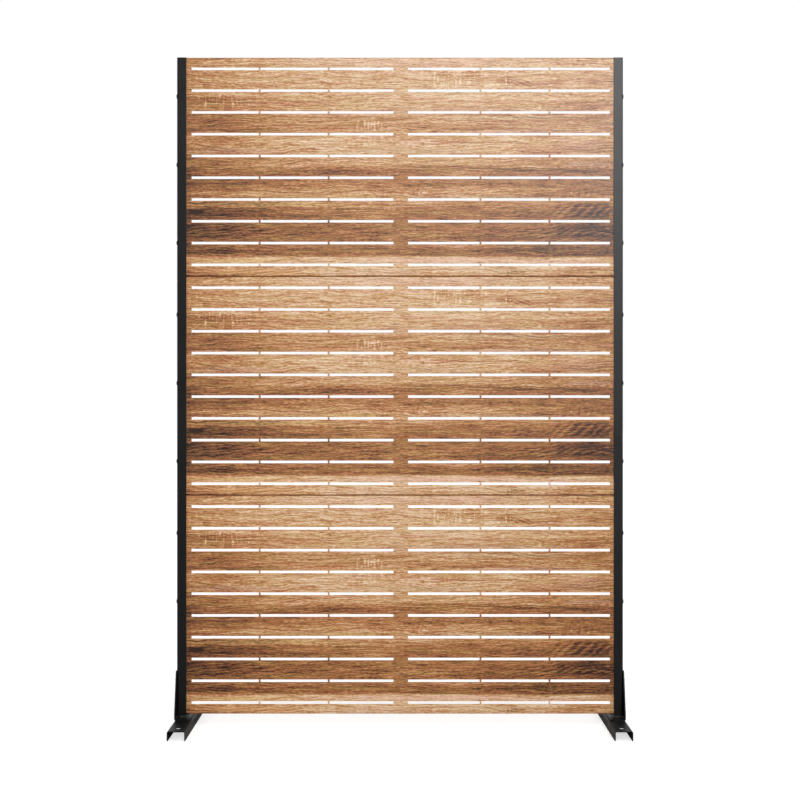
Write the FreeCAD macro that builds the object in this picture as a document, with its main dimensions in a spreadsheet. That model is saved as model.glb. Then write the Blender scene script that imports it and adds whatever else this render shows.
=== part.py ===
import FreeCAD, Part
import os
import Sketcher

# Garden privacy screen: three slotted sheet-metal panels held between two
# channel posts that stand on channel feet.
#
# Frame: X runs across the screen, the front faces -Y, Z points up. The origin
# is on the floor, midway between the posts and midway through their depth.
# All sizes are in millimetres.

doc = FreeCAD.newDocument("privacy_screen")

DRIVING_SIZES = (
    # the whole screen
    ("screen_width", 1220.0, "across the outer faces of the posts"),
    # panels: shallow trays of folded sheet
    ("panel_height", 597.5, "one panel, bottom flange to top flange"),
    ("panel_gap", 1.25, "open seam between two stacked panels"),
    ("panel_sheet", 1.0, "thickness of the panel sheet"),
    ("panel_bend", 1.5, "inner radius of the panel's bends"),
    ("panel_lip", 10.0, "height of the lips folded in along the rear edges"),
    ("panel_notch", 3.0, "square notch where two flanges meet at a corner"),
    ("panel_clearance", 0.3, "panel to post flange, front and back"),
    # slots in the panel face
    ("slot_height", 7.0, "height of one slot"),
    ("slot_rows", 10, "rows of slots on one panel"),
    ("slot_row_margin", 30.7, "panel edge to the centre of the nearest row"),
    ("slot_margin_left", 14.5, "left post to the first slot"),
    ("slot_margin_right", 10.5, "last slot to the right post"),
    ("slot_bridge", 5.3, "narrow bridge between two slots"),
    ("slot_bridge_middle", 40.0, "wide bridge at the middle of a row"),
    ("slot_shift_a", 3.0, "first bridge, to the right of an even division"),
    ("slot_shift_b", 6.0, "second bridge, likewise"),
    ("slot_shift_c", 15.0, "third narrow bridge, likewise"),
    ("slot_shift_d", 18.0, "fourth narrow bridge, likewise"),
    # drain slots in the lower flange of a panel
    ("drain_count", 6, "drain slots along one panel"),
    ("drain_pitch", 206.0, "from one drain slot to the next"),
    ("drain_width", 9.0, "width of a drain slot, along the panel"),
    # posts: channels that open towards the panels
    ("post_flange", 25.4, "width of a post seen from the front"),
    ("post_depth", 30.0, "front to back"),
    ("post_sheet", 2.0, "thickness of the post sheet"),
    ("post_bend", 2.5, "inner radius of the post's bends"),
    ("post_margin", 5.0, "bottom of the post to the lowest panel"),
    ("post_lift", 4.5, "bracket leg to the bottom of the post"),
    # feet: channels laid open side down
    ("foot_length", 304.0, "front to back"),
    ("foot_width", 48.5, "side to side"),
    ("foot_height", 25.5, "floor to the top of the web"),
    ("foot_sheet", 2.5, "thickness of the foot sheet"),
    ("foot_bend", 2.0, "inner radius of the foot's bends"),
    ("anchor_hole", 16.0, "diameter of the ground anchor holes"),
    ("anchor_inset", 35.0, "end of the foot to the anchor hole"),
    # brackets: upright plates folded in under the posts
    ("bracket_sheet", 3.0, "thickness of the bracket plate"),
    ("bracket_bend", 1.5, "inner radius of the bracket's bend"),
    ("bracket_reach", 26.0, "bottom of the plate, beyond the post front and back"),
    ("bracket_shoulder", 20.0, "upright part of the plate's edges"),
    ("bracket_head", 25.0, "upper screw to the top of the plate"),
    ("bracket_corner", 3.0, "radius of the plate's upper corners"),
    ("bracket_leg_inset", 5.5, "bracket leg to the inner side of the foot"),
    ("bracket_leg_corner", 6.0, "radius of the leg's free corners"),
    # places of the screws
    ("screw_top_margin", 103.8, "panel top to the upper screw"),
    ("screw_above_middle", 7.4, "middle screw above the panel's half height"),
    ("screw_bottom_margin", 91.9, "panel bottom to the lower screw"),
    ("bracket_screw_rise", 22.0, "panel bottom to the lowest hole"),
    ("foot_screw_offset", 13.0, "post face to the foot screw"),
    # screws, nuts and washers
    ("screw_diameter", 6.0, "shank of every screw"),
    ("screw_end", 2.0, "screw standing out past its nut"),
    ("screw_clearance", 0.3, "screw to the wall of its hole"),
    ("thread_clearance", 0.05, "screw to the wall of its nut"),
    ("head_rim", 3.0, "screw head beyond the shank, all round"),
    ("head_height", 3.0, "height of the screw head"),
    ("head_draft", 0.6, "rim of the head, narrower at the top"),
    ("socket_corner", 2.2, "centre to corner of the hexagon socket"),
    ("socket_depth", 1.8, "depth of the hexagon socket"),
    ("washer_rim", 3.0, "washer beyond the screw, all round"),
    ("washer_thickness", 1.6, "thickness of a washer"),
    ("nut_wall", 2.75, "hexagon nut, thread to corner"),
    ("nut_height", 5.0, "height of a hexagon nut"),
)

DERIVED_SIZES = (
    ("half_screen", "screen_width / 2", "middle to the outer face of a post"),
    ("post_front", "-post_depth / 2", "front face of the posts"),
    ("panel_pitch", "panel_height + panel_gap", "from one panel to the next"),
    ("post_length", "post_margin + 3 * panel_height + 2 * panel_gap", "height of a post"),
    ("panel_width", "screen_width - 2 * post_sheet", "between the webs of the posts"),
    ("panel_depth", "post_depth - 2 * post_sheet - 2 * panel_clearance", "front face to lips"),
    ("panel_front", "post_front + post_sheet + panel_clearance", "front face of the panels"),
    ("panel_side_depth", "panel_depth - post_bend", "front face to the rear of the side flanges"),
    ("panel_half", "panel_width / 2", "middle to the side of a panel"),
    ("opening_half", "half_screen - post_flange", "middle to the free edge of a post"),
    ("row_half", "(2 * opening_half - slot_margin_left - slot_margin_right - slot_bridge_middle) / 2",
     "length of three slots and their two bridges"),
    ("slot_even", "(row_half - 2 * slot_bridge) / 3", "slot length in an even division"),
    ("slot_pitch", "(panel_height - 2 * slot_row_margin) / (slot_rows - 1)", "from row to row"),
    ("slot_centre", "(slot_margin_left - slot_margin_right) / 2", "middle of the rows of slots"),
    ("drain_first", "slot_centre - (drain_count - 1) / 2 * drain_pitch", "middle of the first drain slot"),
    ("drain_inset", "panel_bend + panel_sheet", "face and rear of a flange to its drain slots"),
    ("screw_low", "screw_bottom_margin", "lower screw above the panel's bottom"),
    ("screw_mid", "panel_height / 2 + screw_above_middle", "middle screw, likewise"),
    ("screw_high", "panel_height - screw_top_margin", "upper screw, likewise"),
    ("screw_hole", "screw_diameter / 2 + screw_clearance", "radius of a screw hole"),
    ("head_radius", "screw_diameter / 2 + head_rim", "radius of a screw head"),
    ("thread_radius", "screw_diameter / 2 + thread_clearance", "radius of a nut's bore"),
    ("foot_centre", "half_screen + bracket_sheet - foot_width / 2", "middle of a foot"),
    ("bracket_level", "foot_height", "underside of the bracket leg"),
    ("post_level", "bracket_level + bracket_sheet + post_lift", "bottom of the posts"),
    ("panel_level", "post_level + post_margin", "bottom of the lowest panel"),
    ("bracket_screw_low", "panel_level + bracket_screw_rise", "lower bracket screw"),
    ("bracket_screw_high", "panel_level + screw_low", "upper bracket screw"),
    ("bracket_half", "post_depth / 2 + bracket_reach", "half the plate's bottom edge"),
    ("bracket_top", "bracket_screw_high + bracket_head - bracket_level", "height of the plate"),
    ("bracket_leg", "foot_width - bracket_leg_inset", "length of the leg"),
    ("foot_screw_place", "post_depth / 2 + foot_screw_offset", "foot screw, front and back"),
    ("panel_screw_length", "post_sheet + panel_sheet + nut_height + screw_end", "screw of a panel"),
    ("bracket_screw_length", "bracket_sheet + panel_screw_length", "screw of a bracket"),
    ("foot_screw_length", "bracket_sheet + foot_sheet + washer_thickness + nut_height + screw_end",
     "screw of a foot"),
    ("foot_web_under", "foot_height - foot_sheet", "underside of the foot's web"),
)

TOUCH = 0.01          # how near two coordinates count as the same place
SHORTEST_BEND = 12.0  # a bend line is longer than any edge of a hole or notch
HEXAGON = 6           # sides of a nut and of a screw's socket
QUARTER_TURN = 90.0
HALF_TURN = 180.0
FULL_TURN = 360.0


def fill_sheet():
    """Write the driving sizes as numbers and the derived ones as formulas."""
    table = doc.addObject("Spreadsheet::Sheet", "sizes")
    rows = [(name, str(value), note) for name, value, note in DRIVING_SIZES]
    rows += [(name, "=" + formula, note) for name, formula, note in DERIVED_SIZES]
    for number, (name, content, note) in enumerate(rows, start=1):
        table.set(f"A{number}", name)
        table.set(f"B{number}", content)
        table.set(f"C{number}", note)
        table.setAlias(f"B{number}", name)
    doc.recompute()
    return table


sizes = fill_sheet()


def size(name):
    """Present value of one size of the sheet."""
    return float(sizes.get(name))


def bind(target, settings):
    """Tie properties of an object to expressions of the sheet."""
    for name, expression in settings.items():
        target.setExpression(name, expression)


# ---------------------------------------------------------------- sketches

def new_body(name):
    """Body whose label names its node."""
    body = doc.addObject("PartDesign::Body", name)
    body.Label = name
    return body


def new_sketch(body, name, plane, offset=None):
    """Sketch on one of the body's own planes, moved along its normal by an offset."""
    sketch = body.newObject("Sketcher::SketchObject", f"{body.Name}_{name}")
    support = next(item for item in body.Origin.OriginFeatures if item.Role == plane)
    sketch.AttachmentSupport = (support, [""])
    sketch.MapMode = "FlatFace"
    if offset is not None:
        sketch.setExpression("AttachmentOffset.Base.z", offset)
    return sketch


def pin_point(sketch, tag, line, end, across, up):
    """Hold one end of a line at a place given by two expressions."""
    for axis, expression in (("X", across), ("Y", up)):
        place = float(sketch.evalExpression(expression))
        number = sketch.addConstraint(Sketcher.Constraint(f"Distance{axis}", -1, 1, line, end, place))
        sketch.renameConstraint(number, f"{tag}_{axis.lower()}")
        sketch.setExpression(f"Constraints.{tag}_{axis.lower()}", expression)


def draw_outline(sketch, tag, corners):
    """Closed outline of straight lines through corners given as expressions."""
    places = [
        FreeCAD.Vector(float(sketch.evalExpression(across)), float(sketch.evalExpression(up)), 0)
        for across, up in corners
    ]
    first = sketch.GeometryCount
    count = len(corners)
    for here in range(count):
        sketch.addGeometry(Part.LineSegment(places[here], places[(here + 1) % count]))
    for here in range(count):
        after = (here + 1) % count
        sketch.addConstraint(Sketcher.Constraint("Coincident", first + here, 2, first + after, 1))
    for here, (across, up) in enumerate(corners):
        pin_point(sketch, f"{tag}_{here}", first + here, 1, across, up)


def draw_rectangle(sketch, tag, left, bottom, right, top):
    """Rectangle between two corners given as expressions."""
    draw_outline(sketch, tag, ((left, bottom), (right, bottom), (right, top), (left, top)))


def draw_circle(sketch, tag, across, up, radius):
    """Circle whose centre and radius are expressions."""
    centre = FreeCAD.Vector(float(sketch.evalExpression(across)), float(sketch.evalExpression(up)), 0)
    rim = float(sketch.evalExpression(radius))
    circle = sketch.addGeometry(Part.Circle(centre, FreeCAD.Vector(0, 0, 1), rim))
    pin_point(sketch, tag, circle, 3, across, up)
    number = sketch.addConstraint(Sketcher.Constraint("Radius", circle, rim))
    sketch.renameConstraint(number, f"{tag}_radius")
    sketch.setExpression(f"Constraints.{tag}_radius", radius)


# ---------------------------------------------------------------- features

def grow(kind, sketch, length, side="One side", backwards=False):
    """Pad or Pocket of a sketch; the volume must change the way the kind says."""
    body = sketch.getParentGeoFeatureGroup()
    before = body.Tip.Shape.Volume if body.Tip else 0.0
    feature = body.newObject(f"PartDesign::{kind}", f"{sketch.Name}_{kind.lower()}")
    feature.Profile = sketch
    feature.SideType = side
    feature.Reversed = backwards
    feature.setExpression("Length", length)
    body.Tip = feature
    doc.recompute()
    change = feature.Shape.Volume - before
    if (change > 0) != (kind == "Pad"):
        raise RuntimeError(f"{feature.Name} points away from its solid")
    return feature


def repeat(pocket, axis, length, count):
    """Repeat a pocket along one axis of its sketch, H_Axis or V_Axis."""
    body = pocket.getParentGeoFeatureGroup()
    pattern = body.newObject("PartDesign::LinearPattern", f"{pocket.Name}_repeats")
    pattern.Originals = [pocket]
    pattern.Direction = (pocket.Profile[0], [axis])
    bind(pattern, {"Length": length, "Occurrences": count})
    body.Tip = pattern
    doc.recompute()
    return pattern


def edges_along(body, axis, places, shortest=0.0):
    """Names of the straight edges along an axis that pass through the given places.

    A place holds the coordinates of the edge in the other two axes, in the
    order x, y, z.
    """
    across = [other for other in range(3) if other != axis]
    names = []
    for number, edge in enumerate(body.Tip.Shape.Edges, start=1):
        box = edge.BoundBox
        low = (box.XMin, box.YMin, box.ZMin)
        high = (box.XMax, box.YMax, box.ZMax)
        if high[axis] - low[axis] < shortest:
            continue
        if any(high[other] - low[other] > TOUCH for other in across):
            continue
        for place in places:
            if all(abs(low[other] - spot) < TOUCH for other, spot in zip(across, place)):
                names.append(f"Edge{number}")
    return names


def round_edges(body, name, edges, radius):
    """Fillet of named edges with a radius given as an expression."""
    if not edges:
        raise RuntimeError(f"{body.Name}_{name} finds no edge to round")
    before = body.Tip
    fillet = body.newObject("PartDesign::Fillet", f"{body.Name}_{name}")
    fillet.Base = (before, edges)
    fillet.setExpression("Radius", radius)
    body.Tip = fillet
    doc.recompute()
    return fillet


def revolve(body, name, corners):
    """Solid turned about the body's Z axis from an outline of radius and height."""
    sketch = new_sketch(body, name, "XZ_Plane")
    draw_outline(sketch, "rim", corners)
    turned = body.newObject("PartDesign::Revolution", f"{body.Name}_turned")
    turned.Profile = sketch
    turned.ReferenceAxis = (sketch, ["V_Axis"])
    turned.Angle = FULL_TURN
    body.Tip = turned
    doc.recompute()
    return turned


X_AXIS, Y_AXIS, Z_AXIS = 0, 1, 2


# ------------------------------------------------------------------ panels

def slot_edges():
    """Left and right ends of the six slots of a row, as expressions."""
    left = "(-sizes.opening_half + sizes.slot_margin_left)"
    middle = f"({left} + sizes.row_half + sizes.slot_bridge_middle)"
    even = "sizes.slot_even"
    bridge = "sizes.slot_bridge"
    ends = []
    for start, first, second in (
        (left, "sizes.slot_shift_a", "sizes.slot_shift_b"),
        (middle, "sizes.slot_shift_c", "sizes.slot_shift_d"),
    ):
        first_end = f"{start} + {even} + {first}"
        second_end = f"{start} + 2 * {even} + {bridge} + {second}"
        ends.append((start, first_end))
        ends.append((f"{first_end} + {bridge}", second_end))
        ends.append((f"{second_end} + {bridge}", f"{start} + sizes.row_half"))
    return ends


def tray_blank(body):
    """Closed-corner tray: a block as deep as the flanges, hollowed from behind."""
    outline = new_sketch(body, "outline", "XZ_Plane")
    draw_rectangle(outline, "face", "-sizes.panel_half", "0", "sizes.panel_half", "sizes.panel_height")
    grow("Pad", outline, "sizes.panel_depth", backwards=True)

    hollow = new_sketch(body, "hollow", "XZ_Plane", "-sizes.panel_sheet")
    draw_rectangle(
        hollow, "inside",
        "-sizes.panel_half + sizes.panel_sheet", "sizes.panel_sheet",
        "sizes.panel_half - sizes.panel_sheet", "sizes.panel_height - sizes.panel_sheet",
    )
    grow("Pocket", hollow, "sizes.panel_depth - sizes.panel_sheet")


def tray_corners(body):
    """Square notches that part the four flanges from each other."""
    notches = new_sketch(body, "notches", "XZ_Plane")
    inner = "sizes.panel_half - sizes.panel_notch"
    upper = "sizes.panel_height - sizes.panel_notch"
    draw_rectangle(notches, "low_left", "-sizes.panel_half", "0", f"-({inner})", "sizes.panel_notch")
    draw_rectangle(notches, "low_right", inner, "0", "sizes.panel_half", "sizes.panel_notch")
    draw_rectangle(notches, "high_left", "-sizes.panel_half", upper, f"-({inner})", "sizes.panel_height")
    draw_rectangle(notches, "high_right", inner, upper, "sizes.panel_half", "sizes.panel_height")
    grow("Pocket", notches, "sizes.panel_depth")


def tray_side_flanges(body):
    """Side flanges cut back to clear the inner bend of the post behind them."""
    trim = new_sketch(body, "side_trim", "XZ_Plane", "-sizes.panel_depth")
    inner = "(sizes.panel_half - sizes.panel_sheet)"
    draw_rectangle(trim, "left", "-sizes.panel_half", "0", f"-{inner}", "sizes.panel_height")
    draw_rectangle(trim, "right", inner, "0", "sizes.panel_half", "sizes.panel_height")
    grow("Pocket", trim, "sizes.panel_depth - sizes.panel_side_depth", backwards=True)


def tray_lips(body):
    """Stiffening lips folded in along the rear of the long flanges."""
    lips = new_sketch(body, "lips", "XZ_Plane", "-(sizes.panel_depth - sizes.panel_sheet)")
    end = "sizes.panel_half - sizes.panel_notch"
    edge = "sizes.panel_height - sizes.panel_lip"
    draw_rectangle(lips, "lower", f"-({end})", "0", end, "sizes.panel_lip")
    draw_rectangle(lips, "upper", f"-({end})", edge, end, "sizes.panel_height")
    grow("Pad", lips, "sizes.panel_sheet", backwards=True)


def tray_bends(body):
    """Bend radii inside and outside: four round the face, two along the lips."""
    half, tall = size("panel_half"), size("panel_height")
    deep, sheet = size("panel_depth"), size("panel_sheet")
    outside = edges_along(body, X_AXIS, ((0, 0), (0, tall), (deep, 0), (deep, tall)), SHORTEST_BEND)
    outside += edges_along(body, Z_AXIS, ((-half, 0), (half, 0)), SHORTEST_BEND)
    round_edges(body, "bends_outside", outside, "sizes.panel_bend + sizes.panel_sheet")

    front, back = sheet, deep - sheet
    low, high = sheet, tall - sheet
    lines = ((front, low), (front, high), (back, low), (back, high))
    inside = edges_along(body, X_AXIS, lines, SHORTEST_BEND)
    inside += edges_along(body, Z_AXIS, ((sheet - half, front), (half - sheet, front)), SHORTEST_BEND)
    round_edges(body, "bends_inside", inside, "sizes.panel_bend")


def tray_slots(body):
    """Rows of six slots through the face."""
    row = new_sketch(body, "slot_row", "XZ_Plane")
    low = "sizes.slot_row_margin - sizes.slot_height / 2"
    high = "sizes.slot_row_margin + sizes.slot_height / 2"
    for number, (left, right) in enumerate(slot_edges()):
        draw_rectangle(row, f"slot{number}", left, low, right, high)
    pocket = grow("Pocket", row, "sizes.panel_sheet")
    repeat(pocket, "V_Axis", "sizes.slot_pitch * (sizes.slot_rows - 1)", "sizes.slot_rows")


def tray_drains(body):
    """Drain slots across the flat of the lower flange."""
    row = new_sketch(body, "drain", "XY_Plane")
    draw_rectangle(
        row, "slot",
        "sizes.drain_first - sizes.drain_width / 2", "sizes.drain_inset",
        "sizes.drain_first + sizes.drain_width / 2", "sizes.panel_depth - sizes.drain_inset",
    )
    pocket = grow("Pocket", row, "sizes.panel_sheet", backwards=True)
    repeat(pocket, "H_Axis", "sizes.drain_pitch * (sizes.drain_count - 1)", "sizes.drain_count")


def tray_screw_holes(body, names):
    """Screw holes through both side flanges at the named heights."""
    holes = new_sketch(body, "screw_holes", "YZ_Plane")
    for name in names:
        draw_circle(holes, name, "sizes.panel_depth / 2", f"sizes.{name}", "sizes.screw_hole")
    grow("Pocket", holes, "sizes.panel_width", side="Symmetric")


def panel(node, steps, screws):
    """One slotted tray, a number of pitches above the lowest."""
    body = new_body(node)
    tray_blank(body)
    tray_corners(body)
    tray_side_flanges(body)
    tray_lips(body)
    tray_bends(body)
    tray_slots(body)
    tray_drains(body)
    tray_screw_holes(body, screws)
    bind(body, {
        "Placement.Base.y": "sizes.panel_front",
        "Placement.Base.z": f"sizes.panel_level + {steps} * sizes.panel_pitch",
    })
    return body


# ------------------------------------------------------------------- posts

def half_turn(side):
    """The left-hand piece as drawn, the right-hand one turned about Z."""
    return FreeCAD.Rotation(FreeCAD.Vector(0, 0, 1), 0 if side < 0 else HALF_TURN)


def post(node, side):
    """Upright channel, drawn with its web at x = 0 and its flanges towards +X."""
    body = new_body(node)
    deep, sheet = size("post_depth"), size("post_sheet")

    outline = new_sketch(body, "outline", "XY_Plane")
    outer = "sizes.post_depth / 2"
    draw_rectangle(outline, "section", "0", f"-{outer}", "sizes.post_flange", outer)
    grow("Pad", outline, "sizes.post_length")

    hollow = new_sketch(body, "hollow", "XY_Plane")
    inner = "(sizes.post_depth / 2 - sizes.post_sheet)"
    draw_rectangle(hollow, "channel", "sizes.post_sheet", f"-{inner}", "sizes.post_flange", inner)
    grow("Pocket", hollow, "sizes.post_length", backwards=True)

    outside = edges_along(body, Z_AXIS, ((0, -deep / 2), (0, deep / 2)))
    round_edges(body, "bends_outside", outside, "sizes.post_bend + sizes.post_sheet")
    inside = edges_along(body, Z_AXIS, ((sheet, sheet - deep / 2), (sheet, deep / 2 - sheet)))
    round_edges(body, "bends_inside", inside, "sizes.post_bend")

    holes = new_sketch(body, "screw_holes", "YZ_Plane")
    for name in ("screw_low", "screw_mid", "screw_high"):
        draw_circle(holes, name, "0", f"sizes.post_margin + sizes.{name}", "sizes.screw_hole")
    pocket = grow("Pocket", holes, "sizes.post_sheet", backwards=True)
    repeat(pocket, "V_Axis", "2 * sizes.panel_pitch", "3")

    lowest = new_sketch(body, "bracket_hole", "YZ_Plane")
    draw_circle(lowest, "hole", "0", "sizes.post_margin + sizes.bracket_screw_rise", "sizes.screw_hole")
    grow("Pocket", lowest, "sizes.post_sheet", backwards=True)

    body.Placement = FreeCAD.Placement(FreeCAD.Vector(), half_turn(side))
    bind(body, {
        "Placement.Base.x": f"{side} * sizes.half_screen",
        "Placement.Base.z": "sizes.post_level",
    })
    return body


# -------------------------------------------------------------------- feet

def foot_channel(node, side):
    """Channel laid open side down, from front to back under a post."""
    body = new_body(node)
    half, sheet, tall = size("foot_width") / 2, size("foot_sheet"), size("foot_height")

    outline = new_sketch(body, "outline", "XZ_Plane")
    outer = "sizes.foot_width / 2"
    draw_rectangle(outline, "section", f"-{outer}", "0", outer, "sizes.foot_height")
    grow("Pad", outline, "sizes.foot_length", side="Symmetric")

    hollow = new_sketch(body, "hollow", "XZ_Plane")
    inner = "(sizes.foot_width / 2 - sizes.foot_sheet)"
    draw_rectangle(hollow, "channel", f"-{inner}", "0", inner, "sizes.foot_web_under")
    grow("Pocket", hollow, "sizes.foot_length", side="Symmetric")

    outside = edges_along(body, Y_AXIS, ((-half, tall), (half, tall)))
    round_edges(body, "bends_outside", outside, "sizes.foot_bend + sizes.foot_sheet")
    inside = edges_along(body, Y_AXIS, ((sheet - half, tall - sheet), (half - sheet, tall - sheet)))
    round_edges(body, "bends_inside", inside, "sizes.foot_bend")

    holes = new_sketch(body, "holes", "XY_Plane", "sizes.foot_height")
    for end, sign in (("front", "-"), ("back", "")):
        draw_circle(holes, f"anchor_{end}", "0", f"{sign}(sizes.foot_length / 2 - sizes.anchor_inset)",
                    "sizes.anchor_hole / 2")
        draw_circle(holes, f"screw_{end}", "0", f"{sign}sizes.foot_screw_place", "sizes.screw_hole")
    grow("Pocket", holes, "sizes.foot_sheet")

    bind(body, {"Placement.Base.x": f"{side} * sizes.foot_centre"})
    return body


def foot_bracket(node, side):
    """Folded bracket: outer face at x = 0, leg towards +X, underside at z = 0."""
    body = new_body(node)
    half, top, neck = size("bracket_half"), size("bracket_top"), size("post_depth") / 2
    sheet, leg = size("bracket_sheet"), size("bracket_leg")

    plate = new_sketch(body, "plate", "YZ_Plane")
    draw_outline(plate, "edge", (
        ("-sizes.bracket_half", "0"),
        ("sizes.bracket_half", "0"),
        ("sizes.bracket_half", "sizes.bracket_shoulder"),
        ("sizes.post_depth / 2", "sizes.bracket_top"),
        ("-sizes.post_depth / 2", "sizes.bracket_top"),
        ("-sizes.bracket_half", "sizes.bracket_shoulder"),
    ))
    grow("Pad", plate, "sizes.bracket_sheet")

    tread = new_sketch(body, "leg", "XY_Plane")
    draw_rectangle(tread, "leg", "0", "-sizes.bracket_half", "sizes.bracket_leg", "sizes.bracket_half")
    grow("Pad", tread, "sizes.bracket_sheet")

    heel = edges_along(body, Y_AXIS, ((0, 0),))
    round_edges(body, "bend_outside", heel, "sizes.bracket_bend + sizes.bracket_sheet")
    crease = edges_along(body, Y_AXIS, ((sheet, sheet),))
    round_edges(body, "bend_inside", crease, "sizes.bracket_bend")
    shoulders = edges_along(body, X_AXIS, ((-neck, top), (neck, top)))
    round_edges(body, "upper_corners", shoulders, "sizes.bracket_corner")
    leg_corners = edges_along(body, Z_AXIS, ((leg, -half), (leg, half)))
    round_edges(body, "leg_corners", leg_corners, "sizes.bracket_leg_corner")

    plate_holes = new_sketch(body, "plate_holes", "YZ_Plane")
    for name in ("bracket_screw_low", "bracket_screw_high"):
        draw_circle(plate_holes, name, "0", f"sizes.{name} - sizes.bracket_level", "sizes.screw_hole")
    grow("Pocket", plate_holes, "sizes.bracket_sheet", backwards=True)

    leg_holes = new_sketch(body, "leg_holes", "XY_Plane", "sizes.bracket_sheet")
    for end, sign in (("front", "-"), ("back", "")):
        draw_circle(leg_holes, end, "sizes.foot_width / 2", f"{sign}sizes.foot_screw_place",
                    "sizes.screw_hole")
    grow("Pocket", leg_holes, "sizes.bracket_sheet")

    body.Placement = FreeCAD.Placement(FreeCAD.Vector(), half_turn(side))
    bind(body, {
        "Placement.Base.x": f"{side} * (sizes.half_screen + sizes.bracket_sheet)",
        "Placement.Base.z": "sizes.bracket_level",
    })
    return body


# --------------------------------------------------------------- fasteners

def screw(name, length):
    """Flat-headed socket screw: head underside at z = 0, shank towards +Z."""
    body = new_body(name)
    revolve(body, "profile", (
        ("0", "-sizes.head_height"),
        ("sizes.head_radius - sizes.head_draft", "-sizes.head_height"),
        ("sizes.head_radius", "0"),
        ("sizes.screw_diameter / 2", "0"),
        ("sizes.screw_diameter / 2", length),
        ("0", length),
    ))
    socket = body.newObject("PartDesign::SubtractivePrism", f"{name}_socket")
    socket.Polygon = HEXAGON
    bind(socket, {
        "Circumradius": "sizes.socket_corner",
        "Height": "sizes.socket_depth",
        "Placement.Base.z": "-sizes.head_height",
    })
    body.Tip = socket
    return body


def washer(name):
    """Flat washer, upper face at z = 0."""
    body = new_body(name)
    revolve(body, "profile", (
        ("sizes.screw_hole", "0"),
        ("sizes.screw_diameter / 2 + sizes.washer_rim", "0"),
        ("sizes.screw_diameter / 2 + sizes.washer_rim", "sizes.washer_thickness"),
        ("sizes.screw_hole", "sizes.washer_thickness"),
    ))
    return body


def hexagon_nut(name):
    """Hexagon nut, bearing face at z = 0."""
    body = new_body(name)
    hexagon = body.newObject("PartDesign::AdditivePrism", f"{name}_hexagon")
    hexagon.Polygon = HEXAGON
    bind(hexagon, {"Circumradius": "sizes.thread_radius + sizes.nut_wall", "Height": "sizes.nut_height"})
    body.Tip = hexagon
    bore = new_sketch(body, "bore", "XY_Plane")
    draw_circle(bore, "thread", "0", "0", "sizes.thread_radius")
    doc.recompute()
    grow("Pocket", bore, "sizes.nut_height", backwards=True)
    return body


INWARD = {
    -1: FreeCAD.Rotation(FreeCAD.Vector(0, 1, 0), QUARTER_TURN),
    +1: FreeCAD.Rotation(FreeCAD.Vector(0, 1, 0), -QUARTER_TURN),
}
DOWNWARD = FreeCAD.Rotation(FreeCAD.Vector(1, 0, 0), HALF_TURN)


def copies(node, piece, spots):
    """Copies of one fastener, kept as separate solids of one node.

    A spot is a rotation and the expressions of its three coordinates.
    """
    links = []
    for number, (turn, place) in enumerate(spots, start=1):
        link = doc.addObject("App::Link", f"{node}_{number}")
        link.LinkedObject = piece
        link.Placement = FreeCAD.Placement(FreeCAD.Vector(), turn)
        bind(link, {f"Placement.Base.{axis}": spot for axis, spot in zip("xyz", place)})
        links.append(link)
    group = doc.addObject("Part::Compound", node)
    group.Label = node
    group.Links = links
    return group


def side_spots(distance, heights, sides=(-1, +1)):
    """Fasteners that point inward from both sides at the given heights."""
    return [
        (INWARD[side], (f"{side} * ({distance})", "0", height))
        for side in sides
        for height in heights
    ]


def panel_heights(steps, names):
    """Heights of a panel's holes above the floor."""
    level = f"sizes.panel_level + {steps} * sizes.panel_pitch"
    return [f"{level} + sizes.{name}" for name in names]


def foot_spots(side, level):
    """Fasteners that point down at the front and the back of a post."""
    across = f"{side} * sizes.foot_centre"
    return [
        (DOWNWARD, (across, "-sizes.foot_screw_place", level)),
        (DOWNWARD, (across, "sizes.foot_screw_place", level)),
    ]


# ---------------------------------------------------------------- assembly

LEVELS = (("bottom", 0), ("middle", 1), ("top", 2))
SIDES = (("left", -1), ("right", +1))
PANEL_SCREWS = ("screw_low", "screw_mid", "screw_high")

panel_screw = screw("stock_panel_screw", "sizes.panel_screw_length")
bracket_screw = screw("stock_bracket_screw", "sizes.bracket_screw_length")
foot_screw = screw("stock_foot_screw", "sizes.foot_screw_length")
stock_washer = washer("stock_washer")
stock_nut = hexagon_nut("stock_nut")

nodes = []

for level, steps in LEVELS:
    # On the lowest panel the lower screws go through the foot brackets, and a
    # fourth pair of holes takes two more.
    lowest = steps == 0
    outer_screws = PANEL_SCREWS[1:] if lowest else PANEL_SCREWS
    all_screws = ("bracket_screw_rise",) + PANEL_SCREWS if lowest else PANEL_SCREWS
    nodes.append(panel(f"panel_{level}", steps, all_screws))
    nodes.append(copies(
        f"panel_bolts_{level}", panel_screw,
        side_spots("sizes.half_screen", panel_heights(steps, outer_screws)),
    ))
    nodes.append(copies(
        f"weld_nuts_{level}", stock_nut,
        side_spots("sizes.panel_half - sizes.panel_sheet", panel_heights(steps, all_screws)),
    ))

for name, side in SIDES:
    nodes.append(post(f"post_{name}", side))
    nodes.append(foot_channel(f"foot_channel_{name}", side))
    nodes.append(foot_bracket(f"foot_bracket_{name}", side))
    nodes.append(copies(
        f"bracket_bolts_{name}", bracket_screw,
        side_spots("sizes.half_screen + sizes.bracket_sheet",
                   ("sizes.bracket_screw_low", "sizes.bracket_screw_high"), (side,)),
    ))
    nodes.append(copies(f"foot_bolts_{name}", foot_screw,
                        foot_spots(side, "sizes.bracket_level + sizes.bracket_sheet")))
    nodes.append(copies(f"foot_washers_{name}", stock_washer, foot_spots(side, "sizes.foot_web_under")))
    nodes.append(copies(f"foot_nuts_{name}", stock_nut,
                        foot_spots(side, "sizes.foot_web_under - sizes.washer_thickness")))

doc.recompute()


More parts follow.
